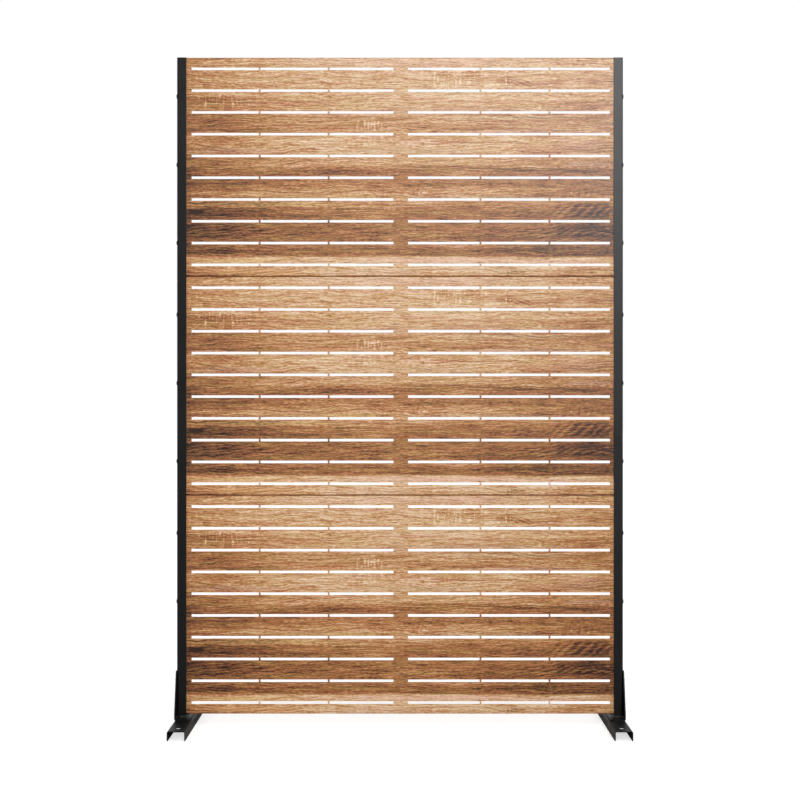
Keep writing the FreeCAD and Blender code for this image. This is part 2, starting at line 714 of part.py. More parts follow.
def check_and_export():
    """Write each node's shape once every object of the document is sound."""
    for item in doc.Objects:
        if "Invalid" in item.State or "Error" in item.State:
            raise RuntimeError(f"{item.Name} did not compute")
    for node in nodes:
        if node.Shape.isNull() or not node.Shape.isValid():
            raise RuntimeError(f"{node.Label} has no valid shape")
    os.makedirs("parts", exist_ok=True)
    for node in nodes:
        node.Shape.exportStep(f"parts/{node.Label}.step")
        print(node.Label, len(node.Shape.Solids), round(node.Shape.Volume))


check_and_export()
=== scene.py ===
"""Garden privacy screen: finishes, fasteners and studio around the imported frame.

Three slotted sheet panels with a printed wood finish stand between two black
channel posts on channel feet. Lengths are metres, X runs across the screen,
the front faces -Y and Z points up.
"""

import logging
import math
from dataclasses import dataclass
from enum import Enum
from typing import Callable, Union

import bmesh
import bpy
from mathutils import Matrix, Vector


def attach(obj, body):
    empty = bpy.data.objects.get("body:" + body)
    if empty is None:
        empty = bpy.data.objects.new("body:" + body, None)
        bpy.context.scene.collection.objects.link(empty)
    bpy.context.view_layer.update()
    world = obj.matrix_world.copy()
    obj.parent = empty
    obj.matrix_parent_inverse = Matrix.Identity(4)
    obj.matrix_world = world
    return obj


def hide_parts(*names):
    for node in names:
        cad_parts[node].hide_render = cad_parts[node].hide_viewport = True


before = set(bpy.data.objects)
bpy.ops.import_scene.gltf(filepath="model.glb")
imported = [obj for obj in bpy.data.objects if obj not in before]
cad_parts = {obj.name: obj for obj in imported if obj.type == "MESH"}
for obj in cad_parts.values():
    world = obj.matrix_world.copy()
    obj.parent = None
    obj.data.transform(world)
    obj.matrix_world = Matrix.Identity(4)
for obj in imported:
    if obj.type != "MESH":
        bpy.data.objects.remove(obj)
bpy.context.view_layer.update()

MM = 0.001
ROOT = "root"

Rgb = tuple[float, float, float]
Socket = bpy.types.NodeSocket
Given = bpy.types.NodeOutputs
Feed = Union[float, int, tuple, Socket]

log = logging.getLogger("privacy_screen")


class Slot(Enum):
    """Names of material slots for the finishes of new pieces; once picked, nothing reads them."""

    SCREW = "black_screw"
    ZINC = "zinc"


class Along(Enum):
    """Direction in which a fastener points, from its head to its tip."""

    PLUS_X = (1, 0, 0)
    MINUS_X = (-1, 0, 0)
    DOWN = (0, 0, -1)


def placed(name: str, data: bpy.types.ID) -> bpy.types.Object:
    """New object in the scene.

    Args:
        name: name of the object.
        data: mesh, camera or lamp in it.

    Returns:
        The object.
    """
    made = bpy.data.objects.new(name, data)
    bpy.context.scene.collection.objects.link(made)
    return made


# ------------------------------------------------------------- node building

class Bench:
    """A node tree with short methods for the nodes that the finishes share."""

    def __init__(self, tree: bpy.types.NodeTree) -> None:
        """Work on a tree.

        Args:
            tree: node tree of a material, a world or a group.
        """
        self.tree = tree

    def node(self, kind: str, **settings: object) -> bpy.types.Node:
        """Add one node.

        Args:
            kind: Blender's name of the node type.
            settings: attributes to set on the node.

        Returns:
            The new node.
        """
        made = self.tree.nodes.new(kind)
        for name, value in settings.items():
            setattr(made, name, value)
        return made

    def feed(self, target: Socket, value: Feed) -> None:
        """Link a socket to an input, or write a constant into it.

        Args:
            target: input socket.
            value: output socket, number or tuple.
        """
        if isinstance(value, Socket):
            self.tree.links.new(value, target)
        elif isinstance(value, tuple) and target.type == "RGBA" and len(value) == 3:
            target.default_value = (*value, 1.0)
        else:
            target.default_value = value

    def math(self, operation: str, *values: Feed) -> Socket:
        """Math node.

        Args:
            operation: name of the operation.
            values: its inputs, in order.

        Returns:
            The result.
        """
        made = self.node("ShaderNodeMath", operation=operation)
        for target, value in zip(made.inputs, values):
            self.feed(target, value)
        return made.outputs[0]

    def add(self, first: Feed, second: Feed) -> Socket:
        """Sum of two values."""
        return self.math("ADD", first, second)

    def minus(self, first: Feed, second: Feed) -> Socket:
        """First value less the second."""
        return self.math("SUBTRACT", first, second)

    def times(self, first: Feed, second: Feed) -> Socket:
        """Product of two values."""
        return self.math("MULTIPLY", first, second)

    def over(self, first: Feed, second: Feed) -> Socket:
        """First value divided by the second."""
        return self.math("DIVIDE", first, second)

    def swing(self, value: Feed, amount: Feed) -> Socket:
        """Turn a noise into a change that is zero on average."""
        return self.times(self.minus(value, 0.5), amount)

    def span(self, value: Feed, low: Feed, high: Feed, to_low: float = 0.0,
             to_high: float = 1.0, smooth: bool = True) -> Socket:
        """Map a range of values to another, clamped.

        Args:
            value: what is mapped.
            low: value that becomes to_low.
            high: value that becomes to_high.
            to_low: result at low.
            to_high: result at high.
            smooth: ease in and out.

        Returns:
            The mapped value.
        """
        kind = "SMOOTHSTEP" if smooth else "LINEAR"
        made = self.node("ShaderNodeMapRange", interpolation_type=kind)
        for name, number in (("Value", value), ("From Min", low), ("From Max", high),
                             ("To Min", to_low), ("To Max", to_high)):
            self.feed(made.inputs[name], number)
        return made.outputs["Result"]

    def split(self, vector: Feed) -> tuple:
        """X, Y and Z of a vector.

        Args:
            vector: what is split.

        Returns:
            The three values.
        """
        made = self.node("ShaderNodeSeparateXYZ")
        self.feed(made.inputs[0], vector)
        return tuple(made.outputs)

    def combine(self, x: Feed, y: Feed, z: Feed) -> Socket:
        """Vector of three values.

        Args:
            x: first value.
            y: second value.
            z: third value.

        Returns:
            The vector.
        """
        made = self.node("ShaderNodeCombineXYZ")
        for target, value in zip(made.inputs, (x, y, z)):
            self.feed(target, value)
        return made.outputs[0]

    def noise(self, place: Feed, scale: Feed = 1.0, detail: float = 2.0,
              roughness: float = 0.5) -> Socket:
        """Value of a noise texture.

        Args:
            place: vector that the texture reads.
            scale: size of the pattern, larger is finer.
            detail: number of octaves.
            roughness: strength of the finer octaves.

        Returns:
            A value from 0 to 1, about 0.5 on average.
        """
        made = self.node("ShaderNodeTexNoise")
        for name, value in (("Vector", place), ("Scale", scale), ("Detail", detail),
                            ("Roughness", roughness)):
            self.feed(made.inputs[name], value)
        return made.outputs[0]

    def stretched(self, along: Feed, across: Feed, rates: tuple, detail: float = 2.0,
                  roughness: float = 0.5) -> Socket:
        """Noise of its own fineness along and across the grain.

        Args:
            along: way along the grain.
            across: way across it.
            rates: fineness along, fineness across and slice of the noise.
            detail: number of octaves.
            roughness: strength of the finer octaves.

        Returns:
            A value from 0 to 1, about 0.5 on average.
        """
        lengthwise, crosswise, part = rates
        place = self.combine(self.times(along, lengthwise), self.times(across, crosswise), part)
        return self.noise(place, 1.0, detail, roughness)

    def tint(self, amount: Feed, first: Feed, second: Feed, mode: str = "MIX") -> Socket:
        """Mix two colours.

        Args:
            amount: 0 for the first, 1 for the second.
            first: colour.
            second: colour.
            mode: blend mode.

        Returns:
            The mixed colour.
        """
        made = self.node("ShaderNodeMix", data_type="RGBA", blend_type=mode)
        self.feed(made.inputs["Factor"], amount)
        colours = [target for target in made.inputs if target.type == "RGBA"]
        self.feed(colours[0], first)
        self.feed(colours[1], second)
        return next(out for out in made.outputs if out.type == "RGBA")

    def ramp(self, value: Feed, stops: tuple) -> Socket:
        """Colour ramp.

        Args:
            value: place on the ramp, from 0 to 1.
            stops: pairs of place and colour, in order.

        Returns:
            The colour.
        """
        made = self.node("ShaderNodeValToRGB")
        made.color_ramp.interpolation = "LINEAR"
        elements = made.color_ramp.elements
        while len(elements) < len(stops):
            elements.new(1.0)
        for element, (place, colour) in zip(elements, stops):
            element.position = place
            element.color = (*colour, 1.0)
        self.feed(made.inputs[0], value)
        return made.outputs[0]

    def place(self, effect: "Effect", **values: Feed) -> bpy.types.Node:
        """Put an effect's group into the tree.

        Args:
            effect: effect to place.
            values: its inputs, with underscores for spaces.

        Returns:
            The group node.
        """
        made = self.node("ShaderNodeGroup", node_tree=effect.tree())
        for name, value in values.items():
            self.feed(made.inputs[name.replace("_", " ")], value)
        return made


def emptied(owner: bpy.types.Material | bpy.types.World) -> Bench:
    """Clear the node tree of a new material or world.

    Args:
        owner: new material or world.

    Returns:
        Its empty tree.
    """
    owner.use_nodes = True
    owner.node_tree.nodes.clear()
    return Bench(owner.node_tree)


FLOAT, VECTOR = "NodeSocketFloat", "NodeSocketVector"


class Effect:
    """A shader node group, built once, that reads a place and some numbers."""

    name = "effect"
    numbers: dict = {}
    outputs: tuple = (("Mask", FLOAT),)

    def tree(self) -> bpy.types.NodeTree:
        """The group, made at its first use."""
        found = bpy.data.node_groups.get(self.name)
        return found or self.make()

    def make(self) -> bpy.types.NodeTree:
        """Make the group with its named sockets.

        Returns:
            The new group.
        """
        group = bpy.data.node_groups.new(self.name, "ShaderNodeTree")
        group.interface.new_socket("Place", in_out="INPUT", socket_type=VECTOR)
        for label, value in self.numbers.items():
            made = group.interface.new_socket(label, in_out="INPUT", socket_type=FLOAT)
            made.default_value = value
        for label, kind in self.outputs:
            group.interface.new_socket(label, in_out="OUTPUT", socket_type=kind)
        bench = Bench(group)
        given = bench.node("NodeGroupInput")
        result = bench.node("NodeGroupOutput")
        for label, value in self.build(bench, given.outputs).items():
            bench.feed(result.inputs[label], value)
        return group

    def build(self, bench: Bench, given: Given) -> dict:
        """Fill the group.

        Args:
            bench: the group's tree.
            given: the group's inputs by name.

        Returns:
            Output label to value.
        """
        raise NotImplementedError


class Streaks(Effect):
    """Fibres that run along one direction, in any length and thickness."""

    name = "streaks"
    numbers = {"Length": 0.2, "Thickness": 0.004, "Seed": 0.0}

    def build(self, bench: Bench, given: Given) -> dict:
        """Noise stretched along the grain.

        Args:
            bench: the group's tree.
            given: the group's inputs by name.

        Returns:
            Output label to value.
        """
        along, across, _ = bench.split(given["Place"])
        fibre = bench.combine(bench.over(along, given["Length"]),
                              bench.over(across, given["Thickness"]), given["Seed"])
        return {"Mask": bench.noise(fibre)}


class Drift(Effect):
    """Grain that wanders up and down: long sweeps with small waves on them."""

    name = "drift"
    numbers = {"Sweep": 0.040, "Wave": 0.008}
    outputs = (("Place", VECTOR), ("Torn", FLOAT))
    slow = (3.0, 9.0, 4.0)
    quick = (16.0, 34.0, 6.0)
    ragged = (22.0, 260.0, 3.0)

    def build(self, bench: Bench, given: Given) -> dict:
        """Shift the height by slow noise, and give a ragged noise for soft edges.

        Args:
            bench: the group's tree.
            given: the group's inputs by name.

        Returns:
            Output label to value.
        """
        along, across, deep = bench.split(given["Place"])
        sweep = bench.swing(bench.stretched(along, across, self.slow), given["Sweep"])
        wave = bench.swing(bench.stretched(along, across, self.quick), given["Wave"])
        torn = bench.stretched(along, across, self.ragged, roughness=0.6)
        risen = bench.add(across, bench.add(sweep, wave))
        return {"Place": bench.combine(along, risen, deep), "Torn": bench.minus(torn, 0.5)}


class SoftPatch(Effect):
    """A lens-shaped area with a soft or ragged edge."""

    name = "soft_patch"
    numbers = {"Torn": 0.0, "Centre X": 0.0, "Centre Z": 0.0, "Half Length": 0.1,
               "Half Height": 0.01, "Slant": 0.0, "Ragged": 0.0}
    full, gone = 0.45, 1.15

    def build(self, bench: Bench, given: Given) -> dict:
        """Distance from the centre in units of the half sizes, faded out.

        Args:
            bench: the group's tree.
            given: the group's inputs by name.

        Returns:
            Output label to value.
        """
        along, across, _ = bench.split(given["Place"])
        right = bench.minus(along, given["Centre X"])
        level = bench.minus(across, given["Centre Z"])
        level = bench.minus(level, bench.times(right, given["Slant"]))
        far_x = bench.over(right, given["Half Length"])
        far_z = bench.over(level, given["Half Height"])
        away = bench.add(bench.times(far_x, far_x), bench.times(far_z, far_z))
        away = bench.add(bench.math("SQRT", away), bench.times(given["Torn"], given["Ragged"]))
        return {"Mask": bench.span(away, self.gone, self.full)}


class Flecks(Effect):
    """Short pale marks across the grain, as rays of the timber show them."""

    name = "ray_flecks"
    numbers = {"Spacing": 0.006, "Height": 0.040, "Seed": 0.0}
    breaks = (90.0, 160.0, 7.0)

    def build(self, bench: Bench, given: Given) -> dict:
        """Upright stretched noise, kept only at its peaks and broken up.

        Args:
            bench: the group's tree.
            given: the group's inputs by name.

        Returns:
            Output label to value.
        """
        along, across, _ = bench.split(given["Place"])
        upright = bench.combine(bench.over(along, given["Spacing"]),
                                bench.over(across, given["Height"]), given["Seed"])
        marks = bench.span(bench.noise(upright, detail=1.0), 0.48, 0.68)
        broken = bench.span(bench.stretched(along, across, self.breaks, detail=1.0), 0.30, 0.62)
        return {"Mask": bench.times(marks, broken)}


class GrowthLines(Effect):
    """Curved dark and light growth lines of a plain-sawn board."""

    name = "growth_lines"
    numbers = {"Spacing": 0.008, "Slope": 0.0, "Bend": 0.0, "Seed": 0.0}
    wander = (9.0, 22.0)
    sharpness = 1.6

    def build(self, bench: Bench, given: Given) -> dict:
        """Waves whose lines lean by a slope and wander with a slow noise.

        Args:
            bench: the group's tree.
            given: the group's inputs by name.

        Returns:
            Output label to value.
        """
        along, across, _ = bench.split(given["Place"])
        slow = bench.stretched(along, across, (*self.wander, given["Seed"]), detail=3.0)
        height = bench.add(across, bench.swing(slow, given["Bend"]))
        height = bench.minus(height, bench.times(along, given["Slope"]))
        phase = bench.times(bench.over(height, given["Spacing"]), math.tau)
        wave = bench.add(bench.times(bench.math("SINE", phase), 0.5), 0.5)
        return {"Mask": bench.math("POWER", wave, self.sharpness)}


class FineTexture(Effect):
    """Fine pimpled surface of a sprayed or baked coat."""

    name = "fine_texture"
    numbers = {"Grain": 0.0012}
    outputs = (("Height", FLOAT), ("Mask", FLOAT))

    def build(self, bench: Bench, given: Given) -> dict:
        """Fine cells for the height, and slow unevenness for the sheen.

        Args:
            bench: the group's tree.
            given: the group's inputs by name.

        Returns:
            Output label to value.
        """
        scale = bench.over(1.0, given["Grain"])
        return {"Height": bench.noise(given["Place"], scale, 3.0, 0.6),
                "Mask": bench.noise(given["Place"], 9.0, 4.0, 0.6)}


class Dust(Effect):
    """Faint dust and handling marks that dull a finish here and there."""

    name = "dust"
    numbers = {"Amount": 0.2}

    def build(self, bench: Bench, given: Given) -> dict:
        """Cloudy noise broken up by specks, more of it on what faces up.

        Args:
            bench: the group's tree.
            given: the group's inputs by name.

        Returns:
            Output label to value.
        """
        cloud = bench.span(bench.noise(given["Place"], 6.0, 5.0, 0.62), 0.42, 0.75)
        speck = bench.span(bench.noise(given["Place"], 900.0, 2.0, 0.6), 0.5, 0.72)
        upward = bench.split(bench.node("ShaderNodeNewGeometry").outputs["Normal"])[2]
        level = bench.span(upward, 0.2, 0.95, 0.35, 1.0)
        both = bench.add(bench.times(cloud, 0.6), bench.times(speck, 0.4))
        return {"Mask": bench.times(bench.times(both, level), given["Amount"])}


class EdgeWearAndHighlight(Effect):
    """Edges where a coat is thin: a rounded normal and a mask along them; on zinc the mask marks
    rubbed metal, on the black powder coat a painted highlight.
    """

    name = "edge_wear_and_highlight"
    numbers = {"Ragged": 0.5}
    outputs = (("Normal", VECTOR), ("Mask", FLOAT))
    radius = 0.5 * MM

    def build(self, bench: Bench, given: Given) -> dict:
        """Compare the true normal with one rounded over a small radius.

        Args:
            bench: the group's tree.
            given: the group's inputs by name.

        Returns:
            Output label to value.
        """
        rounded = bench.node("ShaderNodeBevel", samples=4)
        rounded.inputs["Radius"].default_value = self.radius
        true = bench.node("ShaderNodeNewGeometry").outputs["Normal"]
        facing = bench.node("ShaderNodeVectorMath", operation="DOT_PRODUCT")
        bench.feed(facing.inputs[0], rounded.outputs[0])
        bench.feed(facing.inputs[1], true)
        edge = bench.span(facing.outputs["Value"], 0.995, 0.8)
        torn = bench.span(bench.noise(given["Place"], 160.0, 3.0, 0.6), 0.35, 0.7)
        kept = bench.minus(1.0, bench.times(given["Ragged"], torn))
        return {"Normal": rounded.outputs[0], "Mask": bench.times(edge, kept)}


# ------------------------------------------------------------------ finishes

@dataclass(frozen=True)
class Finish:
    """What every finish has: a name and the look of its clear surface."""

    name: str
    roughness: float
    specular: float

    def start(self) -> tuple[bpy.types.Material, Bench, bpy.types.Node, Socket]:
        """Empty material with its shader.

        Returns:
            The material, its tree, its shader and the place on the object.
        """
        material = bpy.data.materials.new(self.name)
        bench = emptied(material)
        shader = bench.node("ShaderNodeBsdfPrincipled")
        shader.inputs["Specular IOR Level"].default_value = self.specular
        out = bench.node("ShaderNodeOutputMaterial")
        bench.feed(out.inputs["Surface"], shader.outputs[0])
        return material, bench, shader, bench.node("ShaderNodeTexCoord").outputs["Object"]

    def emboss(self, bench: Bench, shader: bpy.types.Node, height: Feed, depth: float,
               normal: Feed | None = None) -> None:
        """Drive the shader's normal from a height.

        Args:
            bench: the material's tree.
            shader: the material's shader.
            height: height from 0 to 1.
            depth: how deep a height of 1 is, in metres.
            normal: normal to start from.
        """
        bump = bench.node("ShaderNodeBump")
        bump.inputs["Strength"].default_value = 1.0
        bump.inputs["Distance"].default_value = depth
        bench.feed(bump.inputs["Height"], height)
        if normal is not None:
            bench.feed(bump.inputs["Normal"], normal)
        bench.feed(shader.inputs["Normal"], bump.outputs[0])


@dataclass(frozen=True)
class Spot:
    """Where a lens of the print lies and how large it is, in millimetres."""

    across: float
    above: float
    half_length: float
    half_height: float


@dataclass(frozen=True)
class Mark(Spot):
    """A darker or paler lens of grain."""

    tone: float
    slant: float = 0.0
    ragged: float = 1.0


@dataclass(frozen=True)
class Stain(Spot):
    """A lens of another pigment."""

    colour: Rgb
    amount: float
    slant: float = 0.0


@dataclass(frozen=True)
class Figure(Spot):
    """A lens with ray flecks or growth lines at a spacing in millimetres."""

    strength: float
    spacing: float
    slope: float = 0.0


@dataclass
class Sheet:
    """The flat sheet in a material: its tree, the place on it and a ragged noise."""

    bench: Bench
    place: Feed
    torn: Feed

    def patch(self, spot: Spot, ragged: float, slant: float = 0.0) -> Socket:
        """Mask of one listed lens.

        Args:
            spot: where the lens lies and how large it is.
            ragged: how torn its edge is.
            slant: rise over its length.

        Returns:
            The mask.
        """
        made = self.bench.place(
            SoftPatch(), Place=self.place, Torn=self.torn, Centre_X=spot.across * MM,
            Centre_Z=spot.above * MM, Half_Length=spot.half_length * MM,
            Half_Height=spot.half_height * MM, Slant=slant, Ragged=ragged,
        )
        return made.outputs[0]

    def worked(self, level: Feed, effect: Effect, spot: Figure, mean: float, ragged: float,
               **values: float) -> Socket:
        """Add a figure to the tone where its lens lies.

        Args:
            level: tone so far.
            effect: marks of the figure.
            spot: the lens and the spacing of the marks.
            mean: about the average of the marks.
            ragged: how torn the lens is.
            values: other inputs of the effect.

        Returns:
            Tone with the figure in it.
        """
        bench = self.bench
        marks = bench.place(effect, Place=self.place, Spacing=spot.spacing * MM, **values)
        mask = bench.times(self.patch(spot, ragged), spot.strength)
        return bench.add(level, bench.times(bench.minus(marks.outputs[0], mean), mask))


PINK: Rgb = (0.740, 0.440, 0.310)
GOLD: Rgb = (0.660, 0.420, 0.160)
ORANGE: Rgb = (0.600, 0.290, 0.105)
RUST: Rgb = (0.450, 0.165, 0.070)
OLIVE: Rgb = (0.600, 0.440, 0.260)


@dataclass(frozen=True)
class WoodPrint(Finish):
    """Wood grain printed on sheet, the same on every panel."""

    level: float = 0.038
    height: float = 0.5975
    pitch: float = 0.59875
    front: float = -0.0127
    half_width: float = 0.585

    # a sharp joint of two boards, and the wandering of the bands above it
    joint: float = 0.0537
    joint_top: float = 0.0541
    band_rates: tuple = (2.6, 12.0, 5.0)
    band_swing: float = 0.026
    # darker towards the sides, more so on the left
    side_fall: float = -0.42
    left_fall: float = -0.16
    # painted shade along the left rim beside the post, and along a panel's lower and upper edge at
    # the seams
    rim: tuple = (0.030, -0.05)
    seams: tuple = (0.0035, 0.0040, -0.30)

    # tone of the print at heights above a panel's lower edge
    bands: tuple = (
        (0.000, 0.66), (0.020, 0.70), (0.048, 0.73), (0.0534, 0.65), (0.0540, 0.34),
        (0.075, 0.38), (0.085, 0.41), (0.110, 0.36), (0.150, 0.38), (0.185, 0.43),
        (0.200, 0.56), (0.225, 0.58), (0.255, 0.40), (0.290, 0.43), (0.305, 0.60),
        (0.340, 0.61), (0.365, 0.67), (0.410, 0.55), (0.475, 0.65), (0.5975, 0.71),
    )

    marks: tuple = (
        # dark knot streak and its torn tail
        Mark(-490, 176.5, 110, 12.5, -0.17, ragged=0.8),
        Mark(-556, 175, 26, 9.5, -0.20, ragged=0.6), Mark(-370, 177.5, 60, 7, -0.16, ragged=1.8),
        Mark(-400, 164, 190, 5, -0.08), Mark(165, 186, 55, 6.5, -0.14, ragged=1.6),
        Mark(360, 174, 60, 15, -0.06), Mark(530, 180, 70, 26, -0.15),
        # long dark streaks
        Mark(-100, 286, 300, 7, -0.10, 0.004, 1.4), Mark(130, 298, 150, 5, -0.12, -0.015, 1.6),
        Mark(400, 290, 200, 11, -0.10, 0.010, 1.4), Mark(-480, 290, 130, 12, -0.04, 0.020, 1.2),
        Mark(-525, 310, 80, 10, -0.09), Mark(-450, 399, 170, 5.5, -0.18, -0.012, 1.2),
        Mark(-200, 405, 60, 3, -0.16, 0.0, 2.0), Mark(-30, 429, 50, 6, -0.12, 0.0, 1.8),
        Mark(180, 400, 200, 4, -0.10, 0.006, 1.6), Mark(-480, 420, 120, 18, -0.06),
        # brown of the upper left
        Mark(-520, 480, 100, 14, -0.09), Mark(-300, 475, 160, 8, -0.04),
        Mark(-530, 528, 80, 12, -0.04), Mark(-400, 577, 200, 6, -0.05),
        # brown figure right of the pale flecks
        Mark(310, 529, 60, 10, -0.15, -0.10, 1.6), Mark(560, 528, 60, 8, -0.10),
        Mark(530, 470, 90, 18, -0.08, 0.04), Mark(560, 425, 70, 25, -0.04),
        Mark(560, 355, 70, 25, -0.04), Mark(560, 230, 70, 16, -0.06),
        Mark(400, 220, 130, 8, -0.09),
        # the dark board above the joint
        Mark(-500, 127, 150, 25, -0.08), Mark(-460, 96, 160, 13, 0.02),
        Mark(540, 125, 150, 35, -0.12), Mark(440, 68, 240, 15, -0.09),
        Mark(250, 105, 160, 13, -0.06), Mark(330, 74, 80, 6, -0.08, ragged=2.0),
        # the pale board below it
        Mark(-470, 34, 150, 12, 0.10), Mark(-560, 10, 60, 10, -0.06),
        Mark(320, 10, 35, 5, -0.16, ragged=2.0), Mark(450, 30, 180, 14, 0.07),
        # gold and tan lights
        Mark(-220, 362, 200, 13, 0.04), Mark(-430, 225, 170, 10, 0.08),
        Mark(-150, 505, 200, 10, 0.03), Mark(200, 490, 200, 8, 0.03),
    )

    stains: tuple = (
        Stain(50, 585, 420, 10, PINK, 0.55), Stain(120, 503, 160, 6, OLIVE, 0.60),
        Stain(430, 503, 140, 6, OLIVE, 0.45), Stain(200, 456, 300, 6, PINK, 0.50),
        Stain(280, 433, 220, 6, OLIVE, 0.50), Stain(-50, 445, 160, 6, PINK, 0.50),
        Stain(-500, 405, 120, 10, RUST, 0.45), Stain(-200, 400, 80, 4, RUST, 0.60),
        Stain(330, 396, 200, 5, PINK, 0.50), Stain(490, 356, 90, 20, (0.580, 0.300, 0.175), 0.55),
        Stain(50, 342, 250, 6, OLIVE, 0.45), Stain(-450, 345, 140, 10, PINK, 0.35),
        Stain(520, 306, 80, 8, PINK, 0.45), Stain(480, 289, 110, 8, RUST, 0.50),
        Stain(150, 320, 250, 6, GOLD, 0.45), Stain(-250, 268, 260, 6, RUST, 0.35),
        Stain(140, 266, 180, 7, RUST, 0.40), Stain(-220, 220, 240, 9, GOLD, 0.50),
        Stain(250, 215, 250, 6, OLIVE, 0.50), Stain(-350, 195, 240, 7, GOLD, 0.55),
        Stain(340, 170, 80, 15, RUST, 0.50), Stain(-560, 175, 26, 8, (0.180, 0.045, 0.035), 0.35),
        Stain(0, 120, 60, 36, ORANGE, 0.45), Stain(-400, 105, 180, 7, RUST, 0.45),
        Stain(-100, 82, 180, 8, ORANGE, 0.30), Stain(-430, 42, 140, 8, GOLD, 0.50),
        Stain(150, 42, 400, 9, PINK, 0.55), Stain(-400, 12, 170, 10, ORANGE, 0.50, -0.02),
        Stain(250, 14, 130, 9, OLIVE, 0.40), Stain(-80, 8, 160, 9, PINK, 0.40),
    )

    flecks: tuple = (
        Figure(160, 540, 110, 26, 0.30, 6.5), Figure(297, 540, 12, 28, 0.50, 7),
        Figure(-480, 477, 95, 24, 0.34, 6), Figure(-90, 412, 70, 16, 0.32, 6),
        Figure(53, 232, 28, 20, 0.28, 9), Figure(480, 232, 90, 20, 0.18, 7),
        Figure(310, 12, 30, 12, 0.30, 6), Figure(-80, 368, 100, 20, 0.16, 6),
        Figure(-560, 535, 30, 20, 0.20, 10), Figure(150, 360, 60, 20, 0.15, 8),
        Figure(380, 460, 50, 10, 0.20, 10),
    )

    fleck_mean: float = 0.16
    fleck_ragged: float = 1.4

    feathers: tuple = (
        Figure(495, 177, 110, 24, 0.22, 24, 0.90), Figure(420, 117, 210, 25, 0.17, 9, 0.26),
        Figure(-430, 120, 190, 25, 0.16, 11, 0.16), Figure(320, 530, 55, 17, 0.24, 7, -0.35),
        Figure(250, 295, 300, 12, 0.14, 6, 0.03), Figure(-440, 440, 160, 15, 0.08, 8, -0.03),
        Figure(100, 72, 300, 15, 0.14, 8, 0.02), Figure(-100, 125, 180, 22, 0.10, 10, 0.04),
    )

    feather_mean: float = 0.45
    feather_ragged: float = 0.6
    feather_bend: float = 0.036

    # length, thickness, seed, swing of the tone and softness of each kind of fibre
    grain: tuple = (
        (0.900, 0.0300, 1.0, 0.025, 0.24),
        (0.320, 0.0090, 2.0, 0.062, 0.20),
        (0.110, 0.0040, 3.0, 0.088, 0.14),
        (0.045, 0.0028, 4.0, 0.095, 0.13),
        (0.011, 0.0026, 5.0, 0.095, 0.13),
    )
    pores: tuple = (0.026, 0.0026, 8.0)
    sweep: float = 0.040
    wave: float = 0.010
    relief: float = 0.06 * MM
    stain_ragged: float = 1.2

    # pigment, length, thickness, seed and amount of the streaks that lie all over
    washes: tuple = (
        (RUST, 0.18, 0.007, 21.0, 0.60),
        (GOLD, 0.24, 0.008, 33.0, 0.50),
        (OLIVE, 0.26, 0.012, 45.0, 0.25),
    )

    # pigments of the print, from the darkest fibre to the palest
    pigments: tuple = (
        (0.00, (0.030, 0.010, 0.005)),
        (0.20, (0.200, 0.066, 0.026)),
        (0.36, (0.370, 0.142, 0.048)),
        (0.44, (0.455, 0.178, 0.064)),
        (0.54, (0.555, 0.264, 0.106)),
        (0.62, (0.635, 0.362, 0.172)),
        (0.72, (0.730, 0.476, 0.264)),
        (0.90, (0.880, 0.700, 0.500)),
    )

    def unfold(self, bench: Bench, place: Feed) -> Socket:
        """Place on the flat sheet before its edges were folded back.

        Args:
            bench: the material's tree.
            place: place on the object.

        Returns:
            Vector of the way across, the way up one panel and zero.
        """
        across, deep, up = bench.split(place)
        facing = bench.split(bench.node("ShaderNodeNewGeometry").outputs["True Normal"])
        behind = bench.minus(deep, self.front)
        sideways = bench.times(behind, bench.math("ABSOLUTE", facing[0]))
        over = bench.times(behind, bench.math("ABSOLUTE", facing[2]))
        one = bench.math("FLOORED_MODULO", bench.minus(up, self.level), self.pitch)
        return bench.combine(bench.add(across, sideways), bench.add(one, over), 0.0)

    def streaks(self, bench: Bench, place: Feed, shape: tuple) -> Socket:
        """Fibres of one length, thickness and seed.

        Args:
            bench: the material's tree.
            place: place on the flat sheet.
            shape: length, thickness and seed.

        Returns:
            The mask.
        """
        length, thickness, seed = shape
        made = bench.place(Streaks(), Place=place, Length=length, Thickness=thickness, Seed=seed)
        return made.outputs[0]

    def tone(self, sheet: Sheet) -> Socket:
        """How light the print is at a place, from 0, darkest, to 1.

        Args:
            sheet: the flat sheet.

        Returns:
            The tone.
        """
        bench = sheet.bench
        across, above, _ = bench.split(sheet.place)
        upper = bench.math("GREATER_THAN", above, self.joint)
        slow = bench.stretched(across, above, self.band_rates)
        shift = bench.times(bench.swing(slow, self.band_swing), upper)
        kept = bench.math("MAXIMUM", bench.add(above, shift), bench.times(upper, self.joint_top))
        stops = tuple((at / self.height, (tone,) * 3) for at, tone in self.bands)
        level = bench.ramp(bench.over(kept, self.height), stops)
        left = bench.math("LESS_THAN", across, 0.0)
        fall = bench.add(self.side_fall, bench.times(left, self.left_fall))
        level = bench.add(level, bench.times(bench.times(across, across), fall))
        rim, rim_shade = self.rim
        foot, head, seam_shade = self.seams
        # painted shade along the left rim and at the seams
        for value, inner, outer, shade in (
            (across, rim - self.half_width, -self.half_width, rim_shade),
            (above, foot, 0.0, seam_shade),
            (above, self.height - head, self.height, seam_shade),
        ):
            level = bench.add(level, bench.span(value, inner, outer, 0.0, shade))
        for mark in self.marks:
            mask = sheet.patch(mark, mark.ragged, mark.slant)
            level = bench.add(level, bench.times(mask, mark.tone))
        return level

